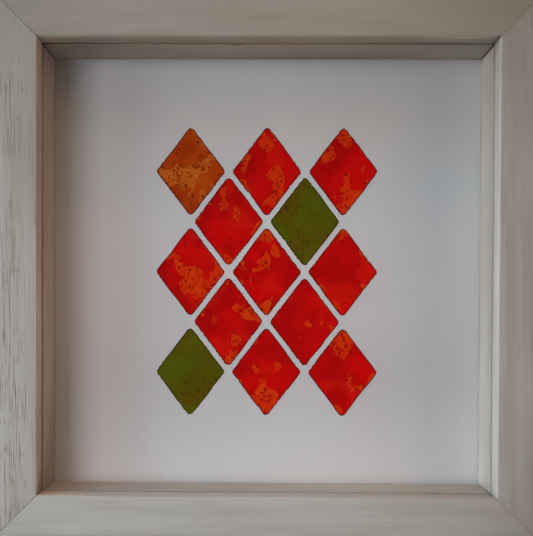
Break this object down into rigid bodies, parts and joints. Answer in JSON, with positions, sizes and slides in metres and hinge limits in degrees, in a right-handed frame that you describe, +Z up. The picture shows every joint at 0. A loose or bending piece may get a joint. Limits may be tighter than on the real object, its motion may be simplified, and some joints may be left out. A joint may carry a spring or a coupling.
{
  "type": "box picture frame",
  "caption": "Square box picture frame in white-limed open-grain wood, with a glass pane and a white board set deep behind it that carries a harlequin pattern in red ink.",
  "frame": {"origin": "middle of the bottom of the bounding box, on the surface that the bottom rail stands on", "axes": "+Z up, -Y towards the viewer (the front of the picture), +X to the viewer's right, +Y into the wall"},
  "size_m": [0.25, 0.0388, 0.249],
  "materials": {
    "limed_wood": "whitewashed open-grain wood, matt, with darker pores along the grain",
    "spacer_wood": "thinly whitewashed wood, browner than the rails, with fine streaks",
    "clear_glass": "clear float glass, 2 mm",
    "white_board": "matt white mount board",
    "red_ink": "glossy red ink with orange blooms, dark pinholes and a dark pooled edge",
    "green_ink": "glossy olive green ink mottled with brown, dark pooled edge",
    "brown_ink": "glossy orange-brown ink, dark pooled edge",
    "hardboard": "brown pressed fibre board, smooth side out",
    "tab_steel": "dull bare steel strip",
    "hanger_steel": "thin yellow passivated steel, satin",
    "bumper_rubber": "soft translucent off-white rubber"
  },
  "bodies": {
    "root": {"rail_bottom": "limed_wood", "rail_left": "limed_wood", "rail_top": "limed_wood", "rail_right": "limed_wood", "glass": "clear_glass", "spacer_top": "spacer_wood", "spacer_bottom": "spacer_wood", "spacer_left": "spacer_wood", "spacer_right": "spacer_wood", "picture_board": "white_board", "ink_lozenge_1": "brown_ink", "ink_lozenge_2": "red_ink", "ink_lozenge_3": "red_ink", "ink_lozenge_4": "red_ink", "ink_lozenge_5": "green_ink", "ink_lozenge_6": "red_ink", "ink_lozenge_7": "red_ink", "ink_lozenge_8": "red_ink", "ink_lozenge_9": "red_ink", "ink_lozenge_10": "red_ink", "ink_lozenge_11": "green_ink", "ink_lozenge_12": "red_ink", "ink_lozenge_13": "red_ink", "backing_board": "hardboard", "back_tab_bottom_a": "tab_steel", "back_tab_bottom_b": "tab_steel", "back_tab_left_a": "tab_steel", "back_tab_left_b": "tab_steel", "back_tab_top_a": "tab_steel", "back_tab_top_b": "tab_steel", "back_tab_right_a": "tab_steel", "back_tab_right_b": "tab_steel", "corner_wedge_bottom_left": "tab_steel", "corner_wedge_top_left": "tab_steel", "corner_wedge_top_right": "tab_steel", "corner_wedge_bottom_right": "tab_steel", "hanger_plate": "hanger_steel", "hanger_nail_left": "hanger_steel", "hanger_nail_right": "hanger_steel", "bumper_left": "bumper_rubber", "bumper_right": "bumper_rubber"}
  },
  "joints": []
}
